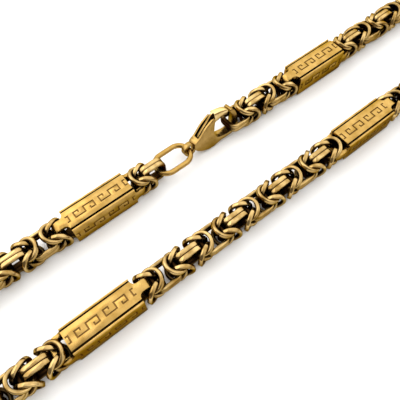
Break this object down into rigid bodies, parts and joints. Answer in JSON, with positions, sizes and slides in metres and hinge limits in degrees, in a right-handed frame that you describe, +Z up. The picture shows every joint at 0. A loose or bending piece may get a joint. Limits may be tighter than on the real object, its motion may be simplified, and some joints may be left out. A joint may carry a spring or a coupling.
{
  "type": "byzantine chain necklace",
  "caption": "Heavy byzantine-weave neck chain, closed by a lobster clasp, with square bars engraved with a Greek key set at even distances, lying as a long narrow loop.",
  "frame": {"origin": "below the middle of the loop, on the surface that it lies on", "axes": "+X along the two long strands, +Z up from the surface"},
  "size_m": [0.2964, 0.046, 0.0101],
  "materials": {
    "link_gold": "polished gold plating with darker recesses",
    "engraved_gold": "satin gold plating, darkened in the engraved lines",
    "clasp_gold": "smooth gold plating"
  },
  "bodies": {
    "chain": {"bar_1": "engraved_gold", "bar_2": "engraved_gold", "bar_3": "engraved_gold", "bar_4": "engraved_gold", "bar_5": "engraved_gold", "bar_6": "engraved_gold", "bar_7": "engraved_gold", "bar_8": "engraved_gold", "links_front": "link_gold", "links_back": "link_gold", "links_back_left": "link_gold", "links_front_left": "link_gold", "links_hook_side": "link_gold", "links_ring_side": "link_gold", "strand_front_right": "link_gold", "strand_end_right": "link_gold", "strand_end_left": "link_gold", "clasp_body": "clasp_gold", "jump_ring": "link_gold"},
    "lever": {"clasp_lever": "clasp_gold"}
  },
  "joints": [
    {"name": "lever_hinge", "type": "hinge", "parent": "chain", "child": "lever", "pos_m": [0.00347, 0.01325, 0.00727], "axis": [0, 0.9848, -0.1736], "range_deg": [0, 18], "stiffness_Nm_per_rad": 0.005}
  ]
}
